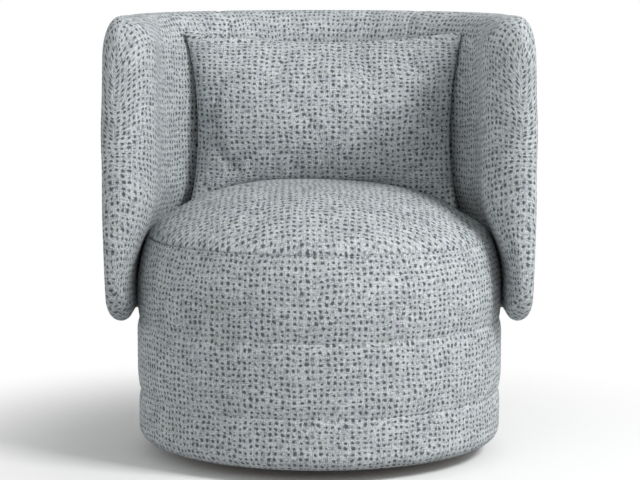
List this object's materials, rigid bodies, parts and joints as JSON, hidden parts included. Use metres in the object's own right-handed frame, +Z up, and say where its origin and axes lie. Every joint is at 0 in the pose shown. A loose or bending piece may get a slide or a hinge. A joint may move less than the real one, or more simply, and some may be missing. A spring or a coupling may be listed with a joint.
{
  "type": "swivel rocker",
  "caption": "Fully upholstered barrel chair with a round drum base, domed seat, wrap-around padded back and loose pillow; it swivels on a ball race and rocks on springs.",
  "frame": {"origin": "on the floor, under the middle of the whole chair", "axes": "+Z up, the sitter faces -Y, +X to the right as seen from the front"},
  "size_m": [0.789, 0.7354, 0.813],
  "materials": {
    "upholstery": "light grey woven basket cloth with dark flecks",
    "foam": "cut polyurethane foam",
    "webbing": "woven elastic webbing",
    "plywood": "sanded birch plywood",
    "solid_wood": "planed softwood",
    "black_steel": "satin black powder coat",
    "grey_steel": "grey powder coat",
    "zinc_steel": "bright zinc plating",
    "cage_brass": "stamped sheet",
    "rubber": "moulded rubber",
    "nylon": "turned nylon",
    "black_plastic": "moulded plastic"
  },
  "bodies": {
    "base": {"floor_glides": "black_plastic", "base_ring": "black_steel", "base_cross": "black_steel", "hub_plate": "black_steel", "lower_race": "zinc_steel", "swivel_bolt": "zinc_steel", "swivel_washer": "zinc_steel", "swivel_nut": "zinc_steel"},
    "ball_carrier": {"race_balls": "zinc_steel", "ball_cage": "cage_brass"},
    "turntable": {"upper_race": "zinc_steel", "turntable_plate": "grey_steel", "rock_shaft": "zinc_steel", "shaft_clips": "zinc_steel", "front_springs": "zinc_steel", "rear_springs": "zinc_steel", "lower_spring_seats": "nylon", "rock_buffers": "rubber"},
    "chair": {"rocker_plate": "grey_steel", "mount_bolts": "zinc_steel", "mount_nuts": "zinc_steel", "board_foot_screws": "zinc_steel", "board_side_screws": "zinc_steel", "rocker_bushes": "nylon", "upper_spring_seats": "nylon", "mount_board": "plywood", "drum_bottom_ring": "plywood", "lower_wall": "plywood", "middle_wall": "plywood", "drum_mid_ring": "plywood", "upper_wall": "plywood", "drum_top_ring": "plywood", "back_board": "plywood", "lower_posts": "solid_wood", "middle_posts": "solid_wood", "upper_posts": "solid_wood", "webbing_lengthwise": "webbing", "webbing_crosswise": "webbing", "seat_foam": "foam", "seat_band_foam": "foam", "middle_band_foam": "foam", "bottom_band_foam": "foam", "seat_cover": "upholstery", "seat_band_cover": "upholstery", "middle_band_cover": "upholstery", "bottom_band_cover": "upholstery", "back_pad": "upholstery", "left_wing_pad": "upholstery", "right_wing_pad": "upholstery"},
    "pillow": {"back_pillow": "upholstery"}
  },
  "joints": [
    {"name": "swivel", "type": "hinge", "parent": "base", "child": "turntable", "pos_m": [0, -0.02675, 0.05], "axis": [0, 0, 1], "continuous": true},
    {"name": "cage_turn", "type": "hinge", "parent": "base", "child": "ball_carrier", "pos_m": [0, -0.02675, 0.0415], "axis": [0, 0, 1], "continuous": true},
    {"name": "rock", "type": "hinge", "parent": "turntable", "child": "chair", "pos_m": [0, -0.02675, 0.0775], "axis": [1, 0, 0], "range_deg": [-3.3, 3.3], "stiffness_Nm_per_rad": 2500, "deforming": ["front_springs", "rear_springs"]},
    {"name": "pillow_lift", "type": "slide", "parent": "chair", "child": "pillow", "axis": [0, 0, 1], "range_m": [0, 0.35]}
  ],
  "couplings": [
    {"joint": "cage_turn", "follows": "swivel", "ratio": 0.5}
  ]
}
